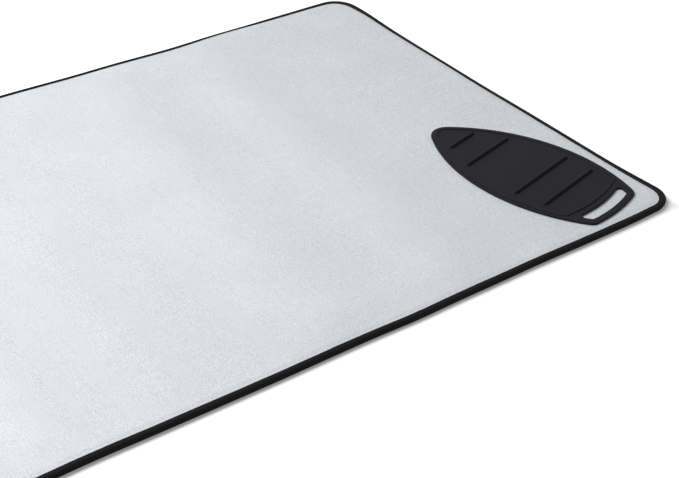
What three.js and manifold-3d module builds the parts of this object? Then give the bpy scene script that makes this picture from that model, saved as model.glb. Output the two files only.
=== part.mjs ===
import * as THREE from 'three';
import { mergeVertices } from 'three/addons/utils/BufferGeometryUtils.js';
import Module from 'manifold-3d';

// A padded ironing mat for a table top, with a loose silicone rest for the iron.
// Millimetres, +Z up. X runs along the mat and Y across it, from the middle of its underside.

// Mat outline, over the binding
const matLength = 1200;
const matWidth = 700;
const matCornerRadius = 37;
const matCornerSteps = 8;

// Plies in the open field of the mat, from the table up
const backThickness = 0.5;
const foamThickness = 3;
const feltThickness = 3;
const coverThickness = 0.6;
const plyClearance = 0.3;

// Binding tape, folded round the squeezed edges of the plies
const bindingWidth = 8.5;
const bindingHeight = 8;
const bindingThickness = 0.9;
const bindingClearance = 0.3;
const bindingFoldSteps = 8;
const pinchRun = 9;
const pinchSteps = 3;

// Lockstitch seam in the two flanges of the binding
const threadDiameter = 0.4;
const threadSides = 8;
const threadClearance = 0.15;
const seamInset = 2;

// Iron rest outline. Its own X runs from the nose to the handle, from its widest station.
const restLength = 285.6;
const restWidth = 161.4;
const restWidestToEnd = 119.8;
const restNoseRadius = 25;
const restEndRadius = 245;
const restEndCornerRadius = 14.5;
const restThickness = 3;
const restEdgeRounding = 1;
const restRoundingSteps = 2;
const restSideSteps = 14;
const restTightSteps = 6;

// Raised rim round the field that the iron stands in
const rimInset = 4.2;
const rimWidth = 4.2;
const rimHeight = 1.2;
const rimRounding = 1.1;
const rimWidestToEnd = 87.9;
const rimEndRadius = 225;
const rimEndCornerRadius = 9;

// Ridges under the iron, evenly pitched, with the middle place of five left bare
const ridgePlaces = [-2, -1, 1, 2];
const ridgePitch = 41.7;
const ridgeMiddle = -38.8;
const ridgeWidth = 8;
const ridgeHeight = 3.6;
const ridgeRounding = 2.4;
const ridgeEndMargin = 17.5;

// Curved hand slot in the handle
const slotMiddle = 103.4;
const slotWidth = 15.1;
const slotRadius = 220;
const slotSideMargin = 11;
const slotCornerRadius = 5;

// Where the widest station of the rest lies on the mat, and which way its handle points
const restFromMatEnd = 109.8;
const restFromMatSide = 140.5;
const restTurn = -76.6;
const restClearance = 0.3;

// Solids are sunk this far into the plate that they grow out of
const joinDepth = 0.6;

const wasm = await Module();
wasm.setup();

function solidOf(geometry) {
  const bare = geometry.clone();
  bare.deleteAttribute('normal');
  bare.deleteAttribute('uv');
  const merged = mergeVertices(bare, 1e-4);
  return new wasm.Manifold(new wasm.Mesh({
    numProp: 3,
    vertProperties: new Float32Array(merged.attributes.position.array),
    triVerts: new Uint32Array(merged.index.array),
  }));
}

function geometryOf(solid) {
  const mesh = solid.getMesh();
  const geometry = new THREE.BufferGeometry();
  geometry.setAttribute('position', new THREE.BufferAttribute(mesh.vertProperties, mesh.numProp));
  geometry.setIndex(new THREE.BufferAttribute(mesh.triVerts, 1));
  return geometry;
}

function finished(name, geometry, color, roughness, metalness) {
  geometry.computeVertexNormals();
  const mesh = new THREE.Mesh(geometry, new THREE.MeshStandardMaterial({ color, roughness, metalness }));
  mesh.name = name;
  return mesh;
}

// The mat's outline as a ring of points, drawn in by an inset and lifted to a height
function matRing({ inset, height }) {
  const radius = matCornerRadius - inset;
  const ring = [];
  for (let corner = 0; corner < 4; corner += 1) {
    const sideX = corner === 0 || corner === 3 ? 1 : -1;
    const sideY = corner < 2 ? 1 : -1;
    const centreX = sideX * (matLength / 2 - matCornerRadius);
    const centreY = sideY * (matWidth / 2 - matCornerRadius);
    for (let step = 0; step <= matCornerSteps; step += 1) {
      const angle = (corner + step / matCornerSteps) * Math.PI / 2;
      ring.push(new THREE.Vector3(
        centreX + radius * Math.cos(angle),
        centreY + radius * Math.sin(angle),
        height,
      ));
    }
  }
  return ring;
}

// A skin over a row of rings: capped at both ends, or closed on itself like a tyre
function loft(profile, closed) {
  const rings = profile.map(matRing);
  const count = rings[0].length;
  const index = [];
  const spans = closed ? rings.length : rings.length - 1;
  for (let span = 0; span < spans; span += 1) {
    const near = span * count;
    const far = ((span + 1) % rings.length) * count;
    for (let step = 0; step < count; step += 1) {
      const next = (step + 1) % count;
      index.push(near + step, near + next, far + next, near + step, far + next, far + step);
    }
  }
  if (!closed) {
    const last = (rings.length - 1) * count;
    for (const [a, b, c] of THREE.ShapeUtils.triangulateShape(rings[0], [])) {
      index.push(c, b, a, last + a, last + b, last + c);
    }
  }
  const geometry = new THREE.BufferGeometry().setFromPoints(rings.flat());
  geometry.setIndex(index);
  return geometry;
}

// Heights of the plies in the field, and squeezed inside the binding
const fieldHeight = backThickness + foamThickness + feltThickness + coverThickness + 3 * plyClearance;
const edgeBottom = bindingThickness + bindingClearance;
const edgeTop = bindingHeight - edgeBottom;
const edgePadding = edgeTop - edgeBottom - backThickness - coverThickness - 3 * plyClearance;
const squeeze = edgePadding / (foamThickness + feltThickness);

const plies = [
  { name: 'back_cloth', field: backThickness, edge: backThickness, color: 0x93959a, roughness: 0.9 },
  { name: 'foam_pad', field: foamThickness, edge: foamThickness * squeeze, color: 0xe6e2d6, roughness: 0.95 },
  { name: 'felt_pad', field: feltThickness, edge: feltThickness * squeeze, color: 0xd9d6cf, roughness: 0.95 },
  { name: 'top_cover', field: coverThickness, edge: coverThickness, color: 0xd8dbe0, roughness: 0.5 },
];

// How far in a ply stops, to lie clear inside the round fold of the binding
function foldInset(bottom, top) {
  const middle = bindingHeight / 2;
  const hollow = middle - edgeBottom;
  const reach = Math.max(middle - bottom, top - middle);
  return middle - Math.sqrt(Math.max(hollow ** 2 - reach ** 2, 0));
}

// One ply: flat in the field, easing down to its squeezed edge under the binding
function plyProfile(field, edge) {
  const end = foldInset(edge.bottom, edge.top);
  const eased = [];
  for (let step = 0; step <= pinchSteps; step += 1) {
    const share = step / pinchSteps;
    eased.push({
      inset: bindingWidth + bindingClearance + pinchRun * (1 - share),
      ease: (1 - Math.cos(Math.PI * share)) / 2,
    });
  }
  const along = (side) => eased.map(({ inset, ease }) => (
    { inset, height: THREE.MathUtils.lerp(field[side], edge[side], ease) }
  ));
  return [
    ...along('bottom'),
    { inset: end, height: edge.bottom },
    { inset: end, height: edge.top },
    ...along('top').reverse(),
  ];
}

function makePlies() {
  let fieldAt = 0;
  let edgeAt = edgeBottom;
  return plies.map((ply) => {
    const field = { bottom: fieldAt, top: fieldAt + ply.field };
    const edge = { bottom: edgeAt, top: edgeAt + ply.edge };
    fieldAt = field.top + plyClearance;
    edgeAt = edge.top + plyClearance;
    const metalness = ply.name === 'top_cover' ? 0.4 : 0;
    return finished(ply.name, loft(plyProfile(field, edge), false), ply.color, ply.roughness, metalness);
  });
}

// The seam lies in a groove that the stitches pull into each flange of the binding
const seamAt = bindingWidth - seamInset;
const seamDepth = threadDiameter + threadClearance;
const seamHalfWidth = threadDiameter / 2 + threadClearance;

// A half round from the underside to the top, about the middle of the folded edge
function foldArc(radius) {
  const middle = bindingHeight / 2;
  const arc = [];
  for (let step = 0; step <= bindingFoldSteps; step += 1) {
    const angle = Math.PI * (step / bindingFoldSteps - 0.5);
    arc.push({ inset: middle - radius * Math.cos(angle), height: middle + radius * Math.sin(angle) });
  }
  return arc;
}

function seamGroove(surface, floor) {
  return [
    { inset: seamAt + seamHalfWidth, height: surface },
    { inset: seamAt + seamHalfWidth, height: floor },
    { inset: seamAt - seamHalfWidth, height: floor },
    { inset: seamAt - seamHalfWidth, height: surface },
  ];
}

function makeBinding() {
  const profile = [
    { inset: bindingWidth, height: 0 },
    ...seamGroove(0, seamDepth),
    ...foldArc(bindingHeight / 2),
    ...seamGroove(bindingHeight, bindingHeight - seamDepth).reverse(),
    { inset: bindingWidth, height: bindingHeight },
    { inset: bindingWidth, height: bindingHeight - bindingThickness },
    ...foldArc(bindingHeight / 2 - bindingThickness).reverse(),
    { inset: bindingWidth, height: bindingThickness },
  ];
  return finished('edge_binding', loft(profile, true), 0x1c1b1d, 0.8, 0);
}

function makeThread(name, height) {
  const profile = [];
  for (let side = 0; side < threadSides; side += 1) {
    const angle = 2 * Math.PI * side / threadSides;
    profile.push({
      inset: seamAt - threadDiameter / 2 * Math.cos(angle),
      height: height + threadDiameter / 2 * Math.sin(angle),
    });
  }
  return finished(name, loft(profile, true), 0x1b1b1d, 0.6, 0);
}

// Points along an arc, both ends included
function arcPoints(centre, radius, from, to, steps) {
  const points = [];
  for (let step = 0; step <= steps; step += 1) {
    const angle = THREE.MathUtils.lerp(from, to, step / steps);
    points.push(new THREE.Vector2(
      centre.x + radius * Math.cos(angle),
      centre.y + radius * Math.sin(angle),
    ));
  }
  return points;
}

// Where two circles cross on the upper side
function crossing(first, firstRadius, second, secondRadius) {
  const across = new THREE.Vector2().subVectors(second, first);
  const apart = across.length();
  const along = (firstRadius ** 2 - secondRadius ** 2 + apart ** 2) / (2 * apart);
  const beside = Math.sqrt(firstRadius ** 2 - along ** 2);
  across.normalize();
  const middle = first.clone().addScaledVector(across, along);
  const normal = new THREE.Vector2(-across.y, across.x);
  const one = middle.clone().addScaledVector(normal, beside);
  const other = middle.clone().addScaledVector(normal, -beside);
  return one.y > other.y ? one : other;
}

function bearing(from, to) {
  return Math.atan2(to.y - from.y, to.x - from.x);
}

// Both sides of the rest are single arcs that run from the nose to the handle
const restHalfWidth = restWidth / 2;
const restWidestToNose = restLength - restWidestToEnd;
const restSideRadius = (
  restHalfWidth ** 2 + restWidestToNose ** 2 - 2 * restNoseRadius * restWidestToNose
) / (2 * (restHalfWidth - restNoseRadius));
const sideCentre = new THREE.Vector2(0, restHalfWidth - restSideRadius);
const noseCentre = new THREE.Vector2(restNoseRadius - restWidestToNose, 0);
const noseBearing = bearing(sideCentre, noseCentre);

// The upper half of an outline and its mirror image, as one shape
function mirrored(upper) {
  const lower = upper.filter((point) => point.y > 1e-6).reverse();
  return new THREE.Shape([...upper, ...lower.map((point) => new THREE.Vector2(point.x, -point.y))]);
}

function joined(...arcs) {
  return arcs.flatMap((arc, place) => (place === 0 ? arc : arc.slice(1)));
}

// The boat form: an end arc, a rounded corner, a side and the nose, drawn in by an inset
function boatShape(reach, endRadius, cornerRadius, inset) {
  const endCentre = new THREE.Vector2(reach - endRadius, 0);
  const corner = crossing(
    sideCentre,
    restSideRadius - inset - cornerRadius,
    endCentre,
    endRadius - cornerRadius,
  );
  const endBearing = bearing(endCentre, corner);
  const sideBearing = bearing(sideCentre, corner);
  return mirrored(joined(
    arcPoints(endCentre, endRadius, 0, endBearing, restTightSteps),
    arcPoints(corner, cornerRadius, endBearing, sideBearing, restTightSteps),
    arcPoints(sideCentre, restSideRadius - inset, sideBearing, noseBearing, restSideSteps),
    arcPoints(noseCentre, restNoseRadius - inset, noseBearing, Math.PI, restTightSteps),
  ));
}

// The hand slot: two parallel arcs, closed by ends that follow the sides of the rest
function slotShape() {
  const centre = new THREE.Vector2(slotMiddle - slotRadius, 0);
  const outer = slotRadius + slotWidth / 2;
  const inner = slotRadius - slotWidth / 2;
  const side = restSideRadius - slotSideMargin;
  const outerCorner = crossing(sideCentre, side - slotCornerRadius, centre, outer - slotCornerRadius);
  const innerCorner = crossing(sideCentre, side - slotCornerRadius, centre, inner + slotCornerRadius);
  const outerBearing = bearing(centre, outerCorner);
  const innerBearing = bearing(centre, innerCorner);
  return mirrored(joined(
    arcPoints(centre, outer, 0, outerBearing, restTightSteps),
    arcPoints(outerCorner, slotCornerRadius, outerBearing, bearing(sideCentre, outerCorner), restTightSteps),
    arcPoints(
      innerCorner,
      slotCornerRadius,
      bearing(sideCentre, innerCorner),
      innerBearing + Math.PI,
      restTightSteps,
    ),
    arcPoints(centre, inner, innerBearing, 0, restTightSteps),
  ));
}

// An extrusion from one height to another with rounded edges, held inside its outline
function rounded(shape, bottom, top, rounding) {
  const geometry = new THREE.ExtrudeGeometry(shape, {
    depth: top - bottom - 2 * rounding,
    steps: 1,
    bevelEnabled: true,
    bevelThickness: rounding,
    bevelSize: rounding,
    bevelOffset: -rounding,
    bevelSegments: restRoundingSteps,
  });
  geometry.translate(0, 0, bottom + rounding);
  return solidOf(geometry);
}

// A form that stands up from the plate, cut off square at its foot inside the plate
function raised(shape, height, rounding) {
  const foot = restThickness - joinDepth;
  const whole = rounded(shape, foot - rounding, restThickness + height, rounding);
  return whole.trimByPlane([0, 0, 1], foot);
}

function makePlate() {
  const shape = boatShape(restWidestToEnd, restEndRadius, restEndCornerRadius, 0);
  shape.holes.push(slotShape());
  return rounded(shape, 0, restThickness, restEdgeRounding);
}

function makeRim() {
  const shape = boatShape(rimWidestToEnd, rimEndRadius, rimEndCornerRadius, rimInset);
  const innerReach = rimWidestToEnd - rimWidth;
  const innerCorner = rimEndCornerRadius - rimWidth;
  shape.holes.push(boatShape(innerReach, rimEndRadius - rimWidth, innerCorner, rimInset + rimWidth));
  return raised(shape, rimHeight, rimRounding);
}

// A bar across the rest with round ends, as long as the rest is wide there
function makeRidge(place) {
  const along = ridgeMiddle + place * ridgePitch;
  const halfWidth = sideCentre.y + Math.sqrt(restSideRadius ** 2 - along ** 2);
  const endCentre = new THREE.Vector2(along, halfWidth - ridgeEndMargin - ridgeWidth / 2);
  const shape = mirrored(arcPoints(endCentre, ridgeWidth / 2, 0, Math.PI, 2 * restTightSteps));
  return raised(shape, ridgeHeight, ridgeRounding);
}

function makeIronRest() {
  const solid = ridgePlaces.map(makeRidge).reduce(
    (whole, ridge) => whole.add(ridge),
    makePlate().add(makeRim()),
  );
  return finished('iron_rest', geometryOf(solid), 0x302f35, 0.7, 0);
}

const mat = new THREE.Group();
mat.add(...makePlies(), makeBinding());
mat.add(makeThread('needle_thread', bindingHeight - threadDiameter / 2));
mat.add(makeThread('bobbin_thread', threadDiameter / 2));

const restPlace = new THREE.Group();
restPlace.position.set(
  matLength / 2 - restFromMatEnd,
  restFromMatSide - matWidth / 2,
  fieldHeight + restClearance,
);
restPlace.rotation.z = THREE.MathUtils.degToRad(restTurn);
restPlace.add(makeIronRest());

const part = new THREE.Group();
part.add(mat, restPlace);

export default part;
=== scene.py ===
import math

import bmesh
import bpy
from mathutils import Matrix, Vector, geometry, kdtree, noise


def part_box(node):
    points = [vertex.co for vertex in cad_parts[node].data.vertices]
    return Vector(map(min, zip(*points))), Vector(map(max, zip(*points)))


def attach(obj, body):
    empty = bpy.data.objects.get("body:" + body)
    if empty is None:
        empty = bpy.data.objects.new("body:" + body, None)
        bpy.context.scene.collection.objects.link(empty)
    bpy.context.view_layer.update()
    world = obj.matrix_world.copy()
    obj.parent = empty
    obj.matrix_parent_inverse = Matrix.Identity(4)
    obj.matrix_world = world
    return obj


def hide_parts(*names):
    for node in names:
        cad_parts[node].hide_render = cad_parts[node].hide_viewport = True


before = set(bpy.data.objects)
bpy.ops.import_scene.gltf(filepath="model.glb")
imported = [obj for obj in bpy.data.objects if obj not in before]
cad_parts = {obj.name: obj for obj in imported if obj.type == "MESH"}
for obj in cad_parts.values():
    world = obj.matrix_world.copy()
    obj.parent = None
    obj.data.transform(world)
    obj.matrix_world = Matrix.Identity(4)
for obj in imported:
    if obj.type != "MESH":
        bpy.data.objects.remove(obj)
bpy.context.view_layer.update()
scene = bpy.context.scene
scene.view_settings.view_transform = "Standard"
mm = 0.001
print("frame loaded:", ", ".join(sorted(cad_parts)))

# camera, from the straight edges of the mat in the photo
photoView = {
    "place": (-0.8032, -1.3640, 1.0516),
    "yaw": 39.92,            # degrees, from +Y towards +X
    "pitch": 34.08,          # degrees below the horizon
    "roll": 3.66,            # degrees
    "focalLength": 1553.2,   # pixels of the picture
    "pictureWidth": 679,     # pixels
    "filmWidth": 36.0,       # millimetres
}


def makeCamera(view):
    lens = bpy.data.cameras.new("photoCamera")
    lens.sensor_fit = "HORIZONTAL"
    lens.sensor_width = view["filmWidth"]
    lens.lens = view["focalLength"] / view["pictureWidth"] * view["filmWidth"]
    camera = bpy.data.objects.new("photoCamera", lens)
    scene.collection.objects.link(camera)
    turn = Matrix.Rotation(math.radians(-view["yaw"]), 4, "Z")
    tip = Matrix.Rotation(math.radians(90 - view["pitch"]), 4, "X")
    lean = Matrix.Rotation(math.radians(view["roll"]), 4, "Z")
    camera.matrix_world = Matrix.Translation(view["place"]) @ turn @ tip @ lean
    scene.camera = camera


makeCamera(photoView)
print("camera placed")


# node helpers: a value that is a socket is wired in, anything else is set
def putValues(tree, sockets, values):
    for key, value in values.items():
        if isinstance(value, bpy.types.NodeSocket):
            tree.links.new(value, sockets[key])
        else:
            sockets[key].default_value = value


def putNode(tree, kind, inputs=None, **settings):
    node = tree.nodes.new(kind)
    for name, value in settings.items():
        setattr(node, name, value)
    putValues(tree, node.inputs, inputs or {})
    return node


def mathOut(tree, operation, *values):
    return putNode(tree, "ShaderNodeMath", dict(enumerate(values)), operation=operation).outputs[0]


def vectorOut(tree, operation, inputs):
    return putNode(tree, "ShaderNodeVectorMath", inputs, operation=operation).outputs[0]


def noiseOut(tree, vector, scale, detail=2.0, roughness=0.5, distortion=0.0, output="Fac"):
    values = {"Vector": vector, "Scale": scale, "Detail": detail, "Roughness": roughness,
              "Distortion": distortion}
    return putNode(tree, "ShaderNodeTexNoise", values).outputs[output]


def rangeOut(tree, value, fromMin, fromMax, toMin, toMax):
    values = {"Value": value, "From Min": fromMin, "From Max": fromMax, "To Min": toMin, "To Max": toMax}
    return putNode(tree, "ShaderNodeMapRange", values).outputs["Result"]


def mixedColour(tree, share, first, second):
    return putNode(tree, "ShaderNodeMix", {0: share, 6: first, 7: second}, data_type="RGBA").outputs[2]


def newMaterial(name):
    material = bpy.data.materials.new(name)
    material.use_nodes = True
    tree = material.node_tree
    return material, tree, tree.nodes["Principled BSDF"]


def objectPoint(tree):
    return putNode(tree, "ShaderNodeTexCoord").outputs["Object"]


def uvPoint(tree, name):
    return putNode(tree, "ShaderNodeUVMap", uv_map=name).outputs[0]


# plain weave, shared by every woven piece; its scales are in threads
weaveForm = {
    "drift": {"scale": 0.23, "detail": 1.0},
    "slubStretch": ((0.5, 0.012, 1), (0.012, 0.5, 1)),   # long along the warp, long along the weft
    "slub": {"scale": 1.0, "detail": 1.0},
    "grain": {"scale": 0.55, "detail": 2.0, "roughness": 0.6},
}


def makeWeaveGroup(form):
    tree = bpy.data.node_groups.new("plainWeave", "ShaderNodeTree")
    for name, kind in (("Vector", "Vector"), ("Threads", "Float"), ("Unevenness", "Float")):
        tree.interface.new_socket(name, in_out="INPUT", socket_type="NodeSocket" + kind)
    for name in ("Height", "Slub", "Grain"):
        tree.interface.new_socket(name, in_out="OUTPUT", socket_type="NodeSocketFloat")
    given = putNode(tree, "NodeGroupInput").outputs
    threads = vectorOut(tree, "SCALE", {0: given["Vector"], 3: given["Threads"]})
    drift = noiseOut(tree, threads, **form["drift"], output="Color")
    centred = vectorOut(tree, "SUBTRACT", {0: drift, 1: (0.5, 0.5, 0.5)})
    shifted = vectorOut(tree, "SCALE", {0: centred, 3: given["Unevenness"]})
    uneven = vectorOut(tree, "ADD", {0: threads, 1: shifted})
    split = putNode(tree, "ShaderNodeSeparateXYZ", {0: uneven}).outputs
    warp, weft = (mathOut(tree, "SINE", mathOut(tree, "MULTIPLY", split[axis], math.pi)) for axis in (0, 1))
    height = mathOut(tree, "MULTIPLY_ADD", mathOut(tree, "MULTIPLY", warp, weft), 0.5, 0.5)
    stretched = [vectorOut(tree, "MULTIPLY", {0: threads, 1: stretch}) for stretch in form["slubStretch"]]
    warpSlub, weftSlub = (noiseOut(tree, vector, **form["slub"]) for vector in stretched)
    slub = mathOut(tree, "MULTIPLY", mathOut(tree, "ADD", warpSlub, weftSlub), 0.5)
    grain = noiseOut(tree, threads, **form["grain"])
    putNode(tree, "NodeGroupOutput", {"Height": height, "Slub": slub, "Grain": grain})
    return tree


weaveGroup = makeWeaveGroup(weaveForm)


def putWeave(tree, vector, look):
    values = {"Vector": vector, "Threads": look["threads"], "Unevenness": look["unevenness"]}
    return putNode(tree, "ShaderNodeGroup", values, node_tree=weaveGroup).outputs


def wovenShare(tree, weave, look):
    # painted shade: the hollows between the threads come out darker and the raised crossings lighter
    hollowShade = mathOut(tree, "MULTIPLY", weave["Height"], look["hollowShadeTone"])
    tone = mathOut(tree, "MULTIPLY_ADD", weave["Slub"], look["slubTone"], hollowShade)
    return rangeOut(tree, tone, *look["toneSpan"], 0, 1)


# what every look ends with: a colour between two tones, plain shader values and a relief
lookSockets = {"metallic": "Metallic", "specular": "Specular IOR Level", "sheen": "Sheen Weight"}


def finishLook(tree, shader, look, share, roughness, height):
    relief = {"Height": height, "Strength": look["bumpStrength"], "Distance": look["bumpDepth"]}
    values = {socket: look[key] for key, socket in lookSockets.items() if key in look}
    values["Base Color"] = mixedColour(tree, share, look["dark"], look["light"])
    values["Roughness"] = roughness
    values["Normal"] = putNode(tree, "ShaderNodeBump", relief).outputs[0]
    putValues(tree, shader.inputs, values)


# silver-coated cotton of the ironing side
silverCloth = {
    "light": (0.851, 0.873, 0.914, 1),
    "dark": (0.566, 0.582, 0.614, 1),
    "threads": 1500.0,       # per metre
    "unevenness": 0.9,       # threads
    "mottle": {"scale": 9.0, "detail": 3.0},
    "grainTone": 2.6,
    "slubTone": 0.5,
    "mottleTone": 0.3,
    "toneSpan": (1.2, 2.2),
    "metallic": 0.18,
    "specular": 0.15,
    "grainSpan": (0.3, 0.7),
    "roughness": (0.62, 0.74),
    "grainRelief": 1.4,
    "bumpStrength": 0.55,
    "bumpDepth": 0.16 * mm,
}


def makeSilverCloth(look):
    material, tree, shader = newMaterial("silverCloth")
    point = objectPoint(tree)
    weave = putWeave(tree, point, look)
    mottle = noiseOut(tree, point, **look["mottle"])
    slubs = mathOut(tree, "MULTIPLY", weave["Slub"], look["slubTone"])
    threads = mathOut(tree, "MULTIPLY_ADD", weave["Grain"], look["grainTone"], slubs)
    tone = mathOut(tree, "MULTIPLY_ADD", mottle, look["mottleTone"], threads)
    share = rangeOut(tree, tone, *look["toneSpan"], 0, 1)
    roughness = rangeOut(tree, weave["Grain"], *look["grainSpan"], *look["roughness"])
    height = mathOut(tree, "MULTIPLY_ADD", weave["Grain"], look["grainRelief"], weave["Height"])
    finishLook(tree, shader, look, share, roughness, height)
    return material


# grey woven cloth of the underside
backWeave = {
    "light": (0.345, 0.355, 0.375, 1),
    "dark": (0.225, 0.232, 0.248, 1),
    "threads": 900.0,
    "unevenness": 0.7,
    "slubTone": 0.9,
    "hollowShadeTone": 0.5,
    "toneSpan": (0.35, 1.0),
    "roughness": 0.88,
    "sheen": 0.15,
    "bumpStrength": 0.7,
    "bumpDepth": 0.3 * mm,
}


def makeBackWeave(look):
    material, tree, shader = newMaterial("backWeave")
    weave = putWeave(tree, objectPoint(tree), look)
    finishLook(tree, shader, look, wovenShare(tree, weave, look), look["roughness"], weave["Height"])
    return material


# needled felt, off-white with stray fibres
feltFibre = {
    "light": (0.74, 0.72, 0.67, 1),
    "dark": (0.55, 0.53, 0.48, 1),
    "tufts": {"scale": 90.0, "detail": 4.0, "roughness": 0.65},
    "fibres": {"scale": 700.0, "detail": 4.0, "distortion": 1.5},
    "fibreStretch": (1.0, 0.25, 1.0),
    "toneSpan": (0.75, 1.25),
    "roughness": 0.95,
    "sheen": 0.3,
    "bumpStrength": 0.8,
    "bumpDepth": 0.5 * mm,
}


def makeFeltFibre(look):
    material, tree, shader = newMaterial("feltFibre")
    point = objectPoint(tree)
    tufts = noiseOut(tree, point, **look["tufts"])
    drawn = vectorOut(tree, "MULTIPLY", {0: point, 1: look["fibreStretch"]})
    tone = mathOut(tree, "ADD", tufts, noiseOut(tree, drawn, **look["fibres"]))
    finishLook(tree, shader, look, rangeOut(tree, tone, *look["toneSpan"], 0, 1), look["roughness"], tone)
    return material


# open-celled foam, with painted shade darkening its pores
foamCells = {
    "light": (0.80, 0.77, 0.67, 1),
    "dark": (0.52, 0.48, 0.38, 1),
    "cellScale": 900.0,
    "poreShadeSpan": (0.1, 0.6),
    "poreShadeTones": (0.2, 1),
    "patches": {"scale": 40.0, "detail": 3.0},
    "patchTones": (0.8, 1.1),
    "roughness": 0.92,
    "bumpStrength": 0.7,
    "bumpDepth": 0.5 * mm,
}


def makeFoamCells(look):
    material, tree, shader = newMaterial("foamCells")
    point = objectPoint(tree)
    pores = putNode(tree, "ShaderNodeTexVoronoi", {"Vector": point, "Scale": look["cellScale"]})
    cells = pores.outputs["Distance"]
    # painted shade: darker towards the middle of each pore, lighter on the cell walls
    poreShade = rangeOut(tree, cells, *look["poreShadeSpan"], *look["poreShadeTones"])
    patchTone = rangeOut(tree, noiseOut(tree, point, **look["patches"]), 0, 1, *look["patchTones"])
    finishLook(tree, shader, look, mathOut(tree, "MULTIPLY", poreShade, patchTone), look["roughness"], cells)
    return material


# black binding tape, woven along its own run
tapeUv = "tapeRun"
blackTape = {
    "light": (0.0160, 0.0150, 0.0165, 1),
    "dark": (0.0060, 0.0056, 0.0064, 1),
    "threads": 1100.0,
    "unevenness": 0.35,
    "slubTone": 0.9,
    "hollowShadeTone": 0.5,
    "toneSpan": (0.3, 1.0),
    "grainSpan": (0.3, 0.7),
    "roughness": (0.62, 0.80),
    "specular": 0.06,
    "bumpStrength": 0.8,
    "bumpDepth": 0.22 * mm,
}


def makeBlackTape(look):
    material, tree, shader = newMaterial("blackTape")
    weave = putWeave(tree, uvPoint(tree, tapeUv), look)
    roughness = rangeOut(tree, weave["Grain"], *look["grainSpan"], *look["roughness"])
    finishLook(tree, shader, look, wovenShare(tree, weave, look), roughness, weave["Height"])
    return material


# black polyester sewing thread
blackThread = {
    "light": (0.018, 0.018, 0.020, 1),
    "dark": (0.006, 0.006, 0.007, 1),
    "strands": {"scale": 3200.0, "detail": 1.0},
    "toneSpan": (0.35, 0.65),
    "roughness": 0.48,
    "specular": 0.18,
    "bumpStrength": 0.6,
    "bumpDepth": 0.08 * mm,
}


def makeBlackThread(look):
    material, tree, shader = newMaterial("blackThread")
    strands = noiseOut(tree, objectPoint(tree), **look["strands"])
    share = rangeOut(tree, strands, *look["toneSpan"], 0, 1)
    finishLook(tree, shader, look, share, look["roughness"], strands)
    return material


# matt black silicone of the iron rest
blackSilicone = {
    "light": (0.0275, 0.0262, 0.0329, 1),
    "dark": (0.0218, 0.0208, 0.0262, 1),
    "clouds": {"scale": 26.0, "detail": 4.0, "roughness": 0.6},
    "grains": {"scale": 1900.0, "detail": 2.0, "roughness": 0.6},
    "toneSpan": (0.3, 0.7),
    "roughness": (0.56, 0.66),
    "specular": 0.03,
    "bumpStrength": 0.5,
    "bumpDepth": 0.035 * mm,
}


def makeBlackSilicone(look):
    material, tree, shader = newMaterial("blackSilicone")
    point = objectPoint(tree)
    clouds = noiseOut(tree, point, **look["clouds"])
    grains = noiseOut(tree, point, **look["grains"])
    share = rangeOut(tree, clouds, *look["toneSpan"], 0, 1)
    roughness = rangeOut(tree, clouds, *look["toneSpan"], *look["roughness"])
    finishLook(tree, shader, look, share, roughness, grains)
    return material


materials = {
    "cover": makeSilverCloth(silverCloth),
    "back": makeBackWeave(backWeave),
    "felt": makeFeltFibre(feltFibre),
    "foam": makeFoamCells(foamCells),
    "tape": makeBlackTape(blackTape),
    "thread": makeBlackThread(blackThread),
    "silicone": makeBlackSilicone(blackSilicone),
}
print("materials made:", len(materials))


# how the mat lies: slow bends in its sewn sides, and crests left from being rolled
halfLength, halfWidth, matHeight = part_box("edge_binding")[1]
matLay = {
    "cornerRadius": 37 * mm,
    # each bend: place along the side, half width, outwards
    "bends": {
        "near": ((-0.245, 0.060, -1.3 * mm), (-0.030, 0.085, 0.8 * mm), (0.170, 0.050, 1.6 * mm),
                 (0.365, 0.055, -1.0 * mm), (0.585, 0.045, -2.9 * mm)),
        "far": ((-0.300, 0.120, 1.0 * mm), (0.130, 0.075, -2.6 * mm), (0.280, 0.075, -4.6 * mm),
                (0.405, 0.060, -2.6 * mm), (0.500, 0.050, -1.0 * mm)),
        "right": ((0.285, 0.055, 2.8 * mm), (0.090, 0.110, -1.2 * mm), (0.010, 0.060, -1.0 * mm),
                  (-0.230, 0.120, 0.3 * mm), (-0.330, 0.060, 3.6 * mm)),
        "left": ((0.300, 0.080, 2.0 * mm), (0.050, 0.100, -1.2 * mm), (-0.300, 0.080, 2.4 * mm)),
    },
    "bendReach": 150 * mm,          # how far in from its side a bend is felt
    # each crest: place on X, lean to +X per metre of Y, half width, height
    "crests": (
        (-0.520, 0.00, 0.045, 2.4 * mm),
        (-0.380, 0.00, 0.045, 2.4 * mm),
        (-0.244, 0.08, 0.035, 2.0 * mm),
        (-0.125, 0.08, 0.038, 1.2 * mm),
        (0.116, 0.09, 0.064, 4.4 * mm),
        (0.286, 0.09, 0.055, 4.0 * mm),
    ),
    "crestSpacing": 9.0,            # how far apart in the noise two crests are, per metre
    "wander": {"size": 9 * mm, "rate": 5, "seed": 0.3},     # sideways, along a crest
    "wane": {"size": 0.35, "rate": 4, "seed": 7.1},         # share of the height, along a crest
    "holdReach": 60 * mm,           # the sewn long sides press the crests flat from this far in
    "levelFrom": 0.36,              # level again under the iron rest
    "levelTo": 0.43,
}


def bumpSum(bumps, along):
    return sum(size * math.exp(-((along - place) / spread) ** 2) for place, spread, size in bumps)


# what the nearest end and the nearest long side have at a place
def sideSums(sides, x, y):
    atEnd = bumpSum(sides["right" if x > 0 else "left"], y)
    return atEnd, bumpSum(sides["far" if y > 0 else "near"], x)


def eased(low, high, value):
    share = min(max((value - low) / (high - low), 0.0), 1.0)
    return share * share * (3 - 2 * share)


def crestNoise(kind, place, y):
    spot = Vector((place * matLay["crestSpacing"], y * kind["rate"], kind["seed"]))
    return kind["size"] * noise.noise(spot)


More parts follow.
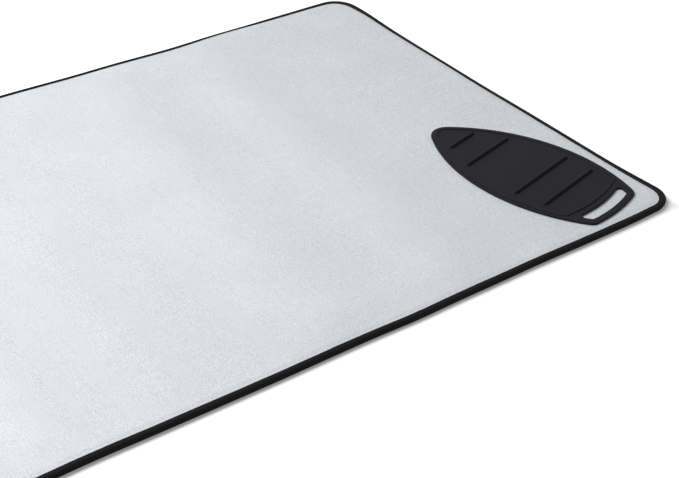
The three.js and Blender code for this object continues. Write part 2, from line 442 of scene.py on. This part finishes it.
def liftAt(x, y):
    lift = 0.0
    for place, lean, spread, height in matLay["crests"]:
        drift = crestNoise(matLay["wander"], place, y)
        wane = 1 + crestNoise(matLay["wane"], place, y)
        lift += height * wane * math.exp(-((x - place - lean * y - drift) / spread) ** 2)
    held = eased(halfWidth - matLay["holdReach"], halfWidth, abs(y))
    return lift * (1 - held) * (1 - eased(matLay["levelFrom"], matLay["levelTo"], x))


def settled(x, y, z):
    reach = matLay["bendReach"]
    outX, outY = sideSums(matLay["bends"], x, y)
    outX *= eased(halfLength - reach, halfLength, abs(x)) ** 2
    outY *= eased(halfWidth - reach, halfWidth, abs(y)) ** 2
    return Vector((x + outX * math.copysign(1, x), y + outY * math.copysign(1, y), z + liftAt(x, y)))


# mesh helpers
def addPiece(name, mesh, material, sharpAngle=40):
    mesh.materials.clear()
    mesh.materials.append(material)
    mesh.shade_smooth()
    mesh.set_sharp_from_angle(angle=math.radians(sharpAngle))
    piece = bpy.data.objects.new(name, mesh)
    scene.collection.objects.link(piece)
    return piece


def meshOf(name, points, faces):
    mesh = bpy.data.meshes.new(name)
    mesh.from_pydata(points, [], faces)
    mesh.update()
    return mesh


def dressPiece(piece, body, node):
    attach(piece, body)
    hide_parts(node)


# the four plies, each one closed sheet: level in the field, squeezed inside the binding
plyForm = {
    "flangeWidth": 8.5 * mm,
    "squeeze": 0.9 * mm,          # each outer face gives way this much to the tape
    "squeezeRun": 7.0 * mm,
    # lines of the grid, mm in from the edge
    "edgeLines": (0, 1.5, 3.0, 4.2, 5.0, 6.0, 7.0, 8.0, 9.2, 10.5, 12.0, 15.0, 20.0, 27.0),
    "fieldStep": 12.5 * mm,
}
# pressed: whether the bottom and the top of a ply give way
plies = {
    "backCloth": {"node": "back_cloth", "slot": "back_cloth", "look": "back", "thick": 0.5 * mm,
                  "upper": False, "pressed": (1, 1)},
    "foamPad": {"node": "foam_pad", "slot": "foam", "look": "foam", "thick": 3.0 * mm,
                "upper": False, "pressed": (1, 0)},
    "feltPad": {"node": "felt_pad", "slot": "felt", "look": "felt", "thick": 3.0 * mm,
                "upper": True, "pressed": (0, 1)},
    "topCover": {"node": "top_cover", "slot": "cover_cloth", "look": "cover", "thick": 0.6 * mm,
                 "upper": True, "pressed": (1, 1)},
}


def gridLines(half):
    near = [inset * mm for inset in plyForm["edgeLines"]]
    inner = half - near[-1]
    count = round(2 * inner / plyForm["fieldStep"])
    middle = [-inner + 2 * inner * step / count for step in range(1, count)]
    return [-half + inset for inset in near] + middle + [half - inset for inset in reversed(near)]


# a place of the square grid moved into the rounded corner, and its depth in from the edge
def roundCorner(x, y, halfX, halfY, radius):
    past = (abs(x) - halfX + radius) / radius
    aside = (abs(y) - halfY + radius) / radius
    if past <= 0 or aside <= 0:
        return x, y, min(halfX - abs(x), halfY - abs(y))
    inX = past * math.sqrt(1 - aside * aside / 2)
    inY = aside * math.sqrt(1 - past * past / 2)
    newX = math.copysign(halfX - radius + radius * inX, x)
    newY = math.copysign(halfY - radius + radius * inY, y)
    return newX, newY, radius * (1 - math.hypot(inX, inY))


def makePly(name, ply):
    low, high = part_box(ply["node"])
    inset = halfLength - high.x
    fieldBottom = high.z - ply["thick"] if ply["upper"] else low.z
    fieldTop = fieldBottom + ply["thick"]
    give = -plyForm["squeeze"] if ply["upper"] else plyForm["squeeze"]
    pressedBottom, pressedTop = ply["pressed"]
    flangeEnd = plyForm["flangeWidth"]
    linesX = gridLines(high.x)
    linesY = gridLines(high.y)
    radius = matLay["cornerRadius"] - inset
    top, bottom = [], []
    for x in linesX:
        for y in linesY:
            atX, atY, depth = roundCorner(x, y, high.x, high.y, radius)
            held = 1 - eased(flangeEnd, flangeEnd + plyForm["squeezeRun"], depth + inset)
            bottom.append(settled(atX, atY, fieldBottom + pressedBottom * give * held))
            top.append(settled(atX, atY, fieldTop + pressedTop * give * held))
    countX, countY = len(linesX), len(linesY)
    size = countX * countY
    faces = []
    for row in range(countX - 1):
        for column in range(countY - 1):
            here = row * countY + column
            ring = (here, here + countY, here + countY + 1, here + 1)
            faces.append(ring)
            faces.append(tuple(size + corner for corner in reversed(ring)))
    rim = [row * countY for row in range(countX)]
    rim += [(countX - 1) * countY + column for column in range(1, countY)]
    rim += [row * countY + countY - 1 for row in range(countX - 2, -1, -1)]
    rim += list(range(countY - 2, 0, -1))
    for here, there in zip(rim, rim[1:] + rim[:1]):
        faces.append((here, size + here, size + there, there))
    piece = addPiece(name, meshOf(name, top + bottom, faces), materials[ply["look"]])
    dressPiece(piece, "mat", ply["node"])
    return piece


plyPieces = {name: makePly(name, ply) for name, ply in plies.items()}
print("plies made:", ", ".join(plyPieces))


# binding tape, folded over the squeezed edge and drawn in at every stitch
bindingTape = {
    "node": "edge_binding",
    "slot": "binding_tape",
    "sharpAngle": 60,
    "width": 8.5 * mm,
    "thick": 0.9 * mm,
    "dome": 0.15 * mm,            # the flange falls this much to its edge
    "tipRound": 0.3 * mm,
    "tipCut": 0.3,                # share of the rounding left at the middle of the tip
    "foldSteps": 8,
    "foldClear": 0.4 * mm,        # from the fold to the first line of the flange
    "liningSteps": 4,
    "liningClear": 0.8 * mm,
    "seamInset": 2.0 * mm,
    "stitchPitch": 4.0 * mm,
    "groove": 0.26 * mm,
    "grooveHalf": 0.75 * mm,
    "grooveSpread": 0.7,          # share of the half width
    "grooveLines": (1.2, 0.6, 0.25, 0, -0.25, -0.6, -1.2),   # half widths in from the seam
    "pucker": 0.16 * mm,          # extra depth at the needle holes
    "edgeWander": 0.28 * mm,
    "edgeWanderLength": 30 * mm,
    "wanderSeeds": (3.0, 11.0),   # upper and lower flange
    "cornerPuff": 2.4 * mm,       # the fold stands out on the short sides, towards the corners
    "puffReach": 140 * mm,
    # where the tape was fed unevenly: place along the side, half width, how much narrower
    "takeUps": {
        "near": ((0.0, 0.70, 0.9 * mm), (0.585, 0.030, 0.9 * mm)),
        "far": ((0.10, 0.50, 0.7 * mm), (0.385, 0.055, 3.2 * mm), (0.585, 0.035, -2.2 * mm)),
        "right": ((0.335, 0.035, -2.4 * mm), (0.090, 0.110, 1.3 * mm), (-0.300, 0.070, -1.4 * mm)),
        "left": ((0.0, 0.30, 0.6 * mm),),
    },
}
seamDepth = bindingTape["width"] - bindingTape["seamInset"]


# share of its width that the tape lacks at a station
def takenUp(tape, base, normal):
    onEnd, onSide = sideSums(tape["takeUps"], base.x, base.y)
    return (onEnd * normal.x ** 2 + onSide * normal.y ** 2) / tape["width"]


# quarter of the fold, from the flange down to the middle height
def foldRun(middle, radius, steps):
    angles = [math.pi / 2 * (1 - step / steps) for step in range(steps)]
    return [(middle - radius * math.cos(angle), middle + radius * math.sin(angle)) for angle in angles]


# closed outline of the tape, as insets and heights: all its outer points, then the lining
def tapeSection(tape):
    middle = matHeight / 2
    width, thick, tip = tape["width"], tape["thick"], tape["tipRound"]
    cut = tip * tape["tipCut"]
    flange = [width - tip] + [seamDepth + tape["grooveHalf"] * line for line in tape["grooveLines"]]
    outer = [(width, matHeight - thick + tip), (width, matHeight - tip), (width - cut, matHeight - cut)]
    outer += [(inset, matHeight) for inset in flange + [middle + tape["foldClear"]]]
    outer += foldRun(middle, middle, tape["foldSteps"])
    under = [(inset, matHeight - height) for inset, height in reversed(outer)]
    lining = [(width - tip, matHeight - thick), (middle + tape["liningClear"], matHeight - thick)]
    lining += foldRun(middle, middle - thick, tape["liningSteps"])
    liningUnder = [(inset, matHeight - height) for inset, height in lining]
    shown = outer + [(0, middle)] + under
    return shown + liningUnder + [(thick, middle)] + lining[::-1], len(shown)


# two stations to a stitch, round the mat: a place on its outline, the way out and the run so far
def seamStations(tape):
    radius = matLay["cornerRadius"]
    straightX = 2 * (halfLength - radius)
    straightY = 2 * (halfWidth - radius)
    turn = math.pi / 2 * (radius - seamDepth)
    runs = []
    for corner in range(4):
        sideX = 1 if corner in (0, 3) else -1
        sideY = 1 if corner < 2 else -1
        centre = Vector((sideX * straightX / 2, sideY * straightY / 2))
        runs.append((turn, centre, corner * math.pi / 2))
        runs.append((straightX if corner in (0, 2) else straightY, centre, None))
    total = 2 * (straightX + straightY) + 4 * turn
    count = 2 * round(total / tape["stitchPitch"])
    stations = []
    for place in range(count):
        along = total * place / count
        for order, (length, centre, start) in enumerate(runs):
            if along <= length:
                break
            along -= length
        onCorner = start is not None
        angle = start + along / (radius - seamDepth) if onCorner else (order // 2 + 1) * math.pi / 2
        normal = Vector((math.cos(angle), math.sin(angle)))
        base = centre + normal * radius
        if not onCorner:
            base = base + Vector((-normal.y, normal.x)) * along
        stations.append((base, normal, total * place / count))
    return stations


def tapeHeight(tape, inset, height, atHole):
    middle = matHeight / 2
    side = 1 if height > middle else -1
    fall = tape["dome"] * max((inset - middle) / (tape["width"] - middle), 0) ** 2
    depth = tape["groove"] + (tape["pucker"] if atHole else 0)
    fall += depth * math.exp(-((inset - seamDepth) / (tape["grooveHalf"] * tape["grooveSpread"])) ** 2)
    return height - side * fall


def makeBinding(tape, stations):
    section, shownCount = tapeSection(tape)
    count = len(section)
    upperSeed, lowerSeed = tape["wanderSeeds"]
    across = [0.0]
    for (insetA, heightA), (insetB, heightB) in zip(section, section[1:] + section[:1]):
        across.append(across[-1] + math.hypot(insetB - insetA, heightB - heightA))
    points = []
    for place, (base, normal, along) in enumerate(stations):
        spot = Vector((base.x, base.y, 0)) / tape["edgeWanderLength"]
        atCorner = eased(halfWidth - tape["puffReach"], halfWidth, abs(base.y))
        puff = tape["cornerPuff"] * abs(normal.x) * atCorner
        taken = takenUp(tape, base, normal)
        for order, (inset, height) in enumerate(section):
            shape = tapeHeight(tape, inset, height, place % 2 == 0) if order < shownCount else height
            seed = upperSeed if height > matHeight / 2 else lowerSeed
            loose = eased(seamDepth, tape["width"], inset)
            wander = loose * tape["edgeWander"] * noise.noise(spot + Vector((0, 0, seed)))
            drawn = inset * (1 - taken) + wander
            drawn -= puff * (1 - inset / tape["width"])
            flat = base - normal * drawn
            points.append(settled(flat.x, flat.y, shape))
    faces = []
    uvs = []
    run = stations[1][2] - stations[0][2]
    for place in range(len(stations)):
        here, there = place * count, (place + 1) % len(stations) * count
        left = stations[place][2]
        right = left + run
        for order in range(count):
            follow = (order + 1) % count
            low, high = across[order], across[order + 1]
            faces.append((here + order, here + follow, there + follow, there + order))
            uvs += [(left, low), (left, high), (right, high), (right, low)]
    mesh = meshOf("edgeBinding", points, faces)
    layer = mesh.uv_layers.new(name=tapeUv)
    for corner, uv in zip(layer.data, uvs):
        corner.uv = uv
    return addPiece("edgeBinding", mesh, materials["tape"], tape["sharpAngle"])


stations = seamStations(bindingTape)
edgeBinding = makeBinding(bindingTape, stations)
dressPiece(edgeBinding, "mat", bindingTape["node"])
print("binding made:", len(stations), "stations")


# lockstitches in both flanges, one short arched thread for each stitch
stitchRow = {
    "Stitch Length": 3.5 * mm,
    "Thread Diameter": 0.42 * mm,
    "Rise": 0.62 * mm,
    "Dip": 0.22 * mm,
    "Wobble": 0.09,               # radians
    "Seed": 5,
}
threadForm = {"slot": "sewing_thread", "archSteps": 5, "sides": 6, "sharpAngle": 70}


def makeStitchTree(form):
    tree = bpy.data.node_groups.new("stitchRow", "GeometryNodeTree")
    tree.interface.new_socket("Geometry", in_out="INPUT", socket_type="NodeSocketGeometry")
    for name in ("Stitch Length", "Thread Diameter", "Rise", "Dip", "Wobble"):
        tree.interface.new_socket(name, in_out="INPUT", socket_type="NodeSocketFloat")
    tree.interface.new_socket("Seed", in_out="INPUT", socket_type="NodeSocketInt")
    tree.interface.new_socket("Thread", in_out="INPUT", socket_type="NodeSocketMaterial")
    tree.interface.new_socket("Geometry", in_out="OUTPUT", socket_type="NodeSocketGeometry")
    given = putNode(tree, "NodeGroupInput").outputs

    def point(x, z):
        return putNode(tree, "ShaderNodeCombineXYZ", {"X": x, "Z": z}).outputs[0]

    front = mathOut(tree, "MULTIPLY", given["Stitch Length"], 0.5)
    back = mathOut(tree, "MULTIPLY", given["Stitch Length"], -0.5)
    down = mathOut(tree, "MULTIPLY", given["Dip"], -1.0)
    radius = mathOut(tree, "MULTIPLY", given["Thread Diameter"], 0.5)
    arch = putNode(tree, "GeometryNodeCurveQuadraticBezier", {
        "Resolution": form["archSteps"], "Start": point(back, down), "Middle": point(0.0, given["Rise"]),
        "End": point(front, down),
    })
    ring = putNode(tree, "GeometryNodeCurvePrimitiveCircle", {"Resolution": form["sides"], "Radius": radius})
    thread = putNode(tree, "GeometryNodeCurveToMesh", {
        "Curve": arch.outputs[0], "Profile Curve": ring.outputs[0], "Fill Caps": True,
    })
    seam = putNode(tree, "GeometryNodeMeshToCurve", {"Mesh": given["Geometry"]})
    along = putNode(tree, "FunctionNodeAlignRotationToVector", {
        "Vector": putNode(tree, "GeometryNodeInputTangent").outputs[0],
    }, axis="X", pivot_axis="Z")
    least = mathOut(tree, "MULTIPLY", given["Wobble"], -1.0)
    wobble = putNode(tree, "FunctionNodeRandomValue", {2: least, 3: given["Wobble"], "Seed": given["Seed"]},
                     data_type="FLOAT")
    twist = putNode(tree, "FunctionNodeAxisAngleToRotation", {"Axis": (0, 0, 1), "Angle": wobble.outputs[1]})
    turned = putNode(tree, "FunctionNodeRotateRotation", {
        "Rotation": along.outputs[0], "Rotate By": twist.outputs[0],
    })
    row = putNode(tree, "GeometryNodeInstanceOnPoints", {
        "Points": seam.outputs[0], "Instance": thread.outputs[0], "Rotation": turned.outputs[0],
    })
    real = putNode(tree, "GeometryNodeRealizeInstances", {"Geometry": row.outputs[0]})
    dressed = putNode(tree, "GeometryNodeSetMaterial", {
        "Geometry": real.outputs[0], "Material": given["Thread"],
    })
    putNode(tree, "NodeGroupOutput", {0: dressed.outputs[0]})
    return tree


stitchTree = makeStitchTree(threadForm)


def makeStitches(name, node, upper):
    level = tapeHeight(bindingTape, seamDepth, matHeight if upper else 0.0, False)
    points = []
    for base, normal, along in stations[1::2]:
        flat = base - normal * seamDepth * (1 - takenUp(bindingTape, base, normal))
        points.append(settled(flat.x, flat.y, level))
    count = len(points)
    line = bpy.data.meshes.new(name + "Line")
    line.from_pydata(points, [(place, (place + 1) % count) for place in range(count)], [])
    carrier = bpy.data.objects.new(name + "Line", line)
    scene.collection.objects.link(carrier)
    modifier = carrier.modifiers.new("stitchRow", "NODES")
    modifier.node_group = stitchTree
    values = dict(stitchRow, Thread=materials["thread"])
    if not upper:
        values["Rise"] = -values["Rise"]
        values["Dip"] = -values["Dip"]
    for socket in stitchTree.interface.items_tree:
        if socket.in_out == "INPUT" and socket.name in values:
            modifier[socket.identifier] = values[socket.name]
    shown = carrier.evaluated_get(bpy.context.evaluated_depsgraph_get())
    mesh = bpy.data.meshes.new_from_object(shown)
    bpy.data.objects.remove(carrier)
    piece = addPiece(name, mesh, materials["thread"], threadForm["sharpAngle"])
    dressPiece(piece, "mat", node)
    return piece


needleStitches = makeStitches("needleStitches", "needle_thread", True)
bobbinStitches = makeStitches("bobbinStitches", "bobbin_thread", False)
print("stitches made:", len(stations) // 2, "a side")


# iron rest, one silicone moulding. Its own X runs from the nose to the handle, from its widest place.
ironRest = {
    "node": "iron_rest",
    "slot": "silicone",
    "sharpAngle": 60,
    "fromMatEnd": 109.8 * mm,
    "fromMatSide": 140.5 * mm,
    "turn": -76.6,                # degrees
    "length": 285.6 * mm,
    "width": 161.4 * mm,
    "widestToEnd": 119.8 * mm,
    "noseRadius": 25 * mm,
    "endRadius": 245 * mm,
    "cornerRadius": 14.5 * mm,
    "arcSteps": (30, 16, 130, 26),   # half of the end, corner, side, half of the nose
    "thick": 3 * mm,
    "edgeRound": 1 * mm,
    "roundSteps": 4,
    "gridStep": 3.0 * mm,
    "gridClear": 1.5 * mm,        # between the grid and the rows of points
    "cutTolerance": 1e-7,
    "weldDistance": 1e-6,
}
restRim = {
    "inset": 4.2 * mm,
    "width": 4.2 * mm,
    "height": 1.2 * mm,
    "rounding": 1.1 * mm,
    "footSlack": 0.02 * mm,
    "rows": (0.5, 1.0, 1.3, 1.6, 1.85, 2.0, 2.1, 2.4),   # rows of points, mm from its middle line
    "lineStep": 0.1 * mm,
    "widestToEnd": 87.9 * mm,
    "endRadius": 225 * mm,
    "cornerRadius": 9 * mm,
}
restRidges = {
    "places": (-2, -1, 1, 2),
    "pitch": 41.7 * mm,
    "middle": -38.8 * mm,
    "width": 8 * mm,
    "height": 3.6 * mm,
    "flank": 2.5 * mm,
    "endMargin": 17.5 * mm,
    "rows": (0.7, 1.2, 1.8, 2.2, 2.5, 2.8, 3.1, 3.4, 3.7, 4.0, 4.5, 5.3),   # mm from its middle line
    "rowStep": 1.1 * mm,
    "leastTurn": 6,               # points round an end
    "middleSteps": 60,
}
handSlot = {
    "middle": 103.4 * mm,
    "width": 15.1 * mm,
    "radius": 220 * mm,
    "sideMargin": 11 * mm,
    "cornerRadius": 5 * mm,
    "arcSteps": 30,
    "cornerSteps": 12,
}

restHalf = ironRest["width"] / 2
noseReach = ironRest["length"] - ironRest["widestToEnd"]
sideRadius = (restHalf ** 2 + noseReach ** 2 - 2 * ironRest["noseRadius"] * noseReach) / (
    2 * (restHalf - ironRest["noseRadius"]))
sideCentre = Vector((0, restHalf - sideRadius))
noseCentre = Vector((ironRest["noseRadius"] - noseReach, 0))


def bearing(start, end):
    return math.atan2(end.y - start.y, end.x - start.x)


def arcRun(centre, radius, start, stop, steps):
    run = []
    for step in range(steps):
        angle = start + (stop - start) * step / steps
        run.append(centre + radius * Vector((math.cos(angle), math.sin(angle))))
    return run


# where two circles cross on the upper side
def upperCrossing(first, firstRadius, second, secondRadius):
    across = second - first
    apart = across.length
    along = (firstRadius ** 2 - secondRadius ** 2 + apart ** 2) / (2 * apart)
    beside = math.sqrt(firstRadius ** 2 - along ** 2)
    across.normalize()
    middle = first + across * along
    normal = Vector((-across.y, across.x))
    return max((middle + normal * beside, middle - normal * beside), key=lambda spot: spot.y)


def mirroredLoop(upper):
    return upper + [Vector((spot.x, -spot.y)) for spot in reversed(upper[1:-1])]


# boat outline: an end arc, a rounded corner, a side and the nose, drawn in by an inset
def boatLoop(form, sideInset, inset):
    endCentre = Vector((form["widestToEnd"] - form["endRadius"], 0))
    cornerRadius = form["cornerRadius"]
    corner = upperCrossing(sideCentre, sideRadius - sideInset - cornerRadius,
                           endCentre, form["endRadius"] - cornerRadius)
    endTurn = bearing(endCentre, corner)
    sideTurn = bearing(sideCentre, corner)
    noseTurn = bearing(sideCentre, noseCentre)
    noseRadius = ironRest["noseRadius"] - sideInset - inset
    endSteps, cornerSteps, sideSteps, noseSteps = ironRest["arcSteps"]
    upper = arcRun(endCentre, form["endRadius"] - inset, 0, endTurn, endSteps)
    upper += arcRun(corner, cornerRadius - inset, endTurn, sideTurn, cornerSteps)
    upper += arcRun(sideCentre, sideRadius - sideInset - inset, sideTurn, noseTurn, sideSteps)
    upper += arcRun(noseCentre, noseRadius, noseTurn, math.pi, noseSteps)
    return mirroredLoop(upper + [noseCentre - Vector((noseRadius, 0))])


def slotLoop(grow):
    centre = Vector((handSlot["middle"] - handSlot["radius"], 0))
    corner = handSlot["cornerRadius"]
    outer = handSlot["radius"] + handSlot["width"] / 2
    inner = handSlot["radius"] - handSlot["width"] / 2
    side = sideRadius - handSlot["sideMargin"]
    outerCorner = upperCrossing(sideCentre, side - corner, centre, outer - corner)
    innerCorner = upperCrossing(sideCentre, side - corner, centre, inner + corner)
    outerTurn = bearing(centre, outerCorner)
    innerTurn = bearing(centre, innerCorner)
    outerSide = bearing(sideCentre, outerCorner)
    innerSide = bearing(sideCentre, innerCorner)
    arcSteps, cornerSteps = handSlot["arcSteps"], handSlot["cornerSteps"]
    upper = arcRun(centre, outer + grow, 0, outerTurn, arcSteps)
    upper += arcRun(outerCorner, corner + grow, outerTurn, outerSide, cornerSteps)
    upper += arcRun(innerCorner, corner + grow, innerSide, innerTurn + math.pi, cornerSteps)
    upper += arcRun(centre, inner - grow, innerTurn, 0, arcSteps)
    return mirroredLoop(upper + [centre + Vector((inner - grow, 0))])


def ridgeEnds(place):
    along = restRidges["middle"] + place * restRidges["pitch"]
    halfHere = sideCentre.y + math.sqrt(sideRadius ** 2 - along ** 2)
    reach = halfHere - restRidges["endMargin"] - restRidges["width"] / 2
    return Vector((along, -reach)), Vector((along, reach))


def capsuleLoop(ends, radius, step):
    low, high = ends
    turnSteps = max(restRidges["leastTurn"], round(math.pi * radius / step))
    runSteps = round((high.y - low.y) / step)
    loop = arcRun(high, radius, 0, math.pi, turnSteps)
    side = Vector((radius, 0))
    loop += [high - side + (low - high) * place / runSteps for place in range(runSteps)]
    loop += arcRun(low, radius, math.pi, 2 * math.pi, turnSteps)
    return loop + [low + side + (high - low) * place / runSteps for place in range(runSteps)]


def insideLoop(spot, loop):
    inside = False
    for here, there in zip(loop, loop[1:] + loop[:1]):
        if (here.y > spot.y) != (there.y > spot.y):
            if spot.x < here.x + (spot.y - here.y) / (there.y - here.y) * (there.x - here.x):
                inside = not inside
    return inside


def treeOf(spots):
    tree = kdtree.KDTree(len(spots))
    for place, spot in enumerate(spots):
        tree.insert((spot.x, spot.y, 0), place)
    tree.balance()
    return tree


def distanceTo(tree, spot):
    return tree.find((spot.x, spot.y, 0))[2]


def resampled(loop, step):
    spots = []
    for here, there in zip(loop, loop[1:] + loop[:1]):
        count = max(1, math.ceil((there - here).length / step))
        spots += [here + (there - here) * place / count for place in range(count)]
    return spots


# height of the rim, whose upper edges are rounded, at a depth in from its side
def rimRise(depth):
    if depth < restRim["footSlack"]:
        return 0.0
    rounding = restRim["rounding"]
    short = max(rounding - depth, 0)
    return restRim["height"] - rounding + math.sqrt(rounding ** 2 - short ** 2)


def restSurface():
    ridges = [ridgeEnds(place) for place in restRidges["places"]]
    rimHalf, ridgeHalf = restRim["width"] / 2, restRidges["width"] / 2
    rimTree = treeOf(resampled(boatLoop(restRim, restRim["inset"], rimHalf), restRim["lineStep"]))

    def heightAt(spot):
        rise = rimRise(rimHalf - distanceTo(rimTree, spot))
        for low, high in ridges:
            foot = Vector((low.x, min(max(spot.y, low.y), high.y)))
            rise += restRidges["height"] * eased(0, restRidges["flank"], ridgeHalf - (spot - foot).length)
        return rise

    return ridges, heightAt


# rows of points along the rim and the ridges, and an even grid between them
def topSpots(outline, slot, ridges):
    spots = []
    for offset in (0, *restRim["rows"], *(-row for row in restRim["rows"])):
        spots += boatLoop(restRim, restRim["inset"], restRim["width"] / 2 + offset * mm)
    middleSteps = restRidges["middleSteps"]
    for low, high in ridges:
        for radius in restRidges["rows"]:
            spots += capsuleLoop((low, high), radius * mm, restRidges["rowStep"])
        spots += [low + (high - low) * place / middleSteps for place in range(middleSteps + 1)]
    taken = treeOf(spots + outline + slot)
    step = ironRest["gridStep"]
    rows = math.ceil(ironRest["length"] / step)
    for row in range(-rows, rows + 1):
        for column in range(-rows, rows + 1):
            spot = Vector(((column + row % 2 / 2) * step, row * step * math.sqrt(3) / 2))
            if distanceTo(taken, spot) <= ironRest["gridClear"]:
                continue
            if insideLoop(spot, outline) and not insideLoop(spot, slot):
                spots.append(spot)
    return spots


def ringEdges(start, count):
    return [(start + place, start + (place + 1) % count) for place in range(count)]


def filled(outline, slot, spots):
    edges = ringEdges(0, len(outline)) + ringEdges(len(outline), len(slot))
    cut = geometry.delaunay_2d_cdt(outline + slot + spots, edges, [], 0, ironRest["cutTolerance"])
    flat, faces = cut[0], cut[2]
    kept = []
    for face in faces:
        middle = sum((flat[corner] for corner in face), Vector((0, 0))) / 3
        if insideLoop(middle, outline) and not insideLoop(middle, slot):
            kept.append(tuple(face))
    return flat, kept


def makeIronRest(rest):
    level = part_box(rest["node"])[0].z
    ridges, heightAt = restSurface()
    rounding, steps, thick = rest["edgeRound"], rest["roundSteps"], rest["thick"]
    points, faces = [], []

    def addCap(outline, slot, spots, height, flip):
        flat, triangles = filled(outline, slot, spots)
        start = len(points)
        for spot in flat:
            points.append(Vector((spot.x, spot.y, height(spot))))
        for triangle in triangles:
            corners = [start + corner for corner in triangle]
            faces.append(tuple(reversed(corners)) if flip else tuple(corners))

    def addWall(loopAt, flip):
        rings = []
        for step in range(steps + 1):
            angle = math.pi / 2 * step / steps
            rings.append((rounding * (1 - math.sin(angle)), thick - rounding * (1 - math.cos(angle))))
        rings += [(inset, thick - height) for inset, height in reversed(rings)]
        for order, (inset, height) in enumerate(rings):
            ring = [Vector((spot.x, spot.y, height)) for spot in loopAt(inset)]
            count = len(ring)
            start = len(points)
            points.extend(ring)
            if order == 0:
                continue
            for place in range(count):
                after = (place + 1) % count
                face = (start - count + place, start + place, start + after, start - count + after)
                faces.append(tuple(reversed(face)) if flip else face)

    outline = boatLoop(rest, 0, rounding)
    slot = slotLoop(rounding)
    addCap(outline, slot, topSpots(outline, slot, ridges), lambda spot: thick + heightAt(spot), False)
    addCap(outline, slot, [], lambda spot: 0.0, True)
    addWall(lambda inset: boatLoop(rest, 0, inset), False)
    addWall(slotLoop, True)
    work = bmesh.new()
    mesh = meshOf("ironRest", points, faces)
    work.from_mesh(mesh)
    bmesh.ops.remove_doubles(work, verts=work.verts, dist=rest["weldDistance"])
    work.to_mesh(mesh)
    work.free()
    place = Matrix.Translation((halfLength - rest["fromMatEnd"], rest["fromMatSide"] - halfWidth, level))
    mesh.transform(place @ Matrix.Rotation(math.radians(rest["turn"]), 4, "Z"))
    return addPiece("ironRest", mesh, materials["silicone"], rest["sharpAngle"])


restPiece = makeIronRest(ironRest)
dressPiece(restPiece, "iron_rest", ironRest["node"])
print("iron rest made:", len(restPiece.data.polygons), "faces")
# floor and light
studio = {
    "floorHalf": 6.0,
    "floorDrop": 0.2 * mm,
    "floorColour": (0.90, 0.90, 0.895, 1),
    "floorRoughness": 0.9,
    "floorGlow": (0.21, 0.64, 1.0),   # painted glow for camera, glossy and transmission rays, weakest next to the mat so its shadow stays dark there: under the edge, beside the mat, far off
    "glowReach": (0.016, 0.3, 1.6),   # where the second begins, where it ends and where the third begins
    "worldLevel": 0.15,
    "keyPlace": (-0.85, 0.80, 2.05),
    "keyAim": (0.6, -2.1, 0.0),
    "keySize": 1.8,
    "keyPower": 68.8,
}
white = (1, 1, 1, 1)


def seenDirectly(tree):
    path = putNode(tree, "ShaderNodeLightPath").outputs
    sight = mathOut(tree, "MAXIMUM", path["Is Camera Ray"], path["Is Glossy Ray"])
    return mathOut(tree, "MAXIMUM", sight, path["Is Transmission Ray"])


def makeFloor(setup):
    material, tree, shader = newMaterial("paperFloor")
    spot = putNode(tree, "ShaderNodeSeparateXYZ", {0: objectPoint(tree)}).outputs
    pastEnd = mathOut(tree, "SUBTRACT", mathOut(tree, "ABSOLUTE", spot[0]), halfLength)
    pastSide = mathOut(tree, "SUBTRACT", mathOut(tree, "ABSOLUTE", spot[1]), halfWidth)
    outside = mathOut(tree, "MAXIMUM", pastEnd, pastSide)
    under, beside, far = setup["floorGlow"]
    first, second, third = setup["glowReach"]
    # painted light: the floor glows, least along the mat's edges and more further out, so only the strip
    # along the mat keeps the lamp's shadow
    nearLevel = rangeOut(tree, outside, 0, first, under, beside)
    farLevel = rangeOut(tree, outside, second, third, 0, far - beside)
    level = mathOut(tree, "ADD", nearLevel, farLevel)
    putValues(tree, shader.inputs, {
        "Base Color": setup["floorColour"], "Roughness": setup["floorRoughness"], "Specular IOR Level": 0.0,
        "Emission Color": white, "Emission Strength": mathOut(tree, "MULTIPLY", seenDirectly(tree), level),
    })
    half, drop = setup["floorHalf"], -setup["floorDrop"]
    corners = [(-half, -half, drop), (half, -half, drop), (half, half, drop), (-half, half, drop)]
    floor = addPiece("floor", meshOf("floor", corners, [(0, 1, 2, 3)]), material)


def makeWorld(setup):
    world = bpy.data.worlds.new("studioWorld")
    world.use_nodes = True
    scene.world = world
    tree = world.node_tree
    level = rangeOut(tree, seenDirectly(tree), 0, 1, setup["worldLevel"], 1.0)
    putValues(tree, tree.nodes["Background"].inputs, {"Strength": level, "Color": white})


def makeKeyLight(setup):
    lamp = bpy.data.lights.new("keyLight", "AREA")
    lamp.shape = "SQUARE"
    lamp.size = setup["keySize"]
    lamp.energy = setup["keyPower"]
    light = bpy.data.objects.new("keyLight", lamp)
    light.location = setup["keyPlace"]
    aim = Vector(setup["keyAim"]) - light.location
    light.rotation_euler = aim.to_track_quat("-Z", "Y").to_euler()
    scene.collection.objects.link(light)


makeFloor(studio)
makeWorld(studio)
makeKeyLight(studio)
print("studio set")
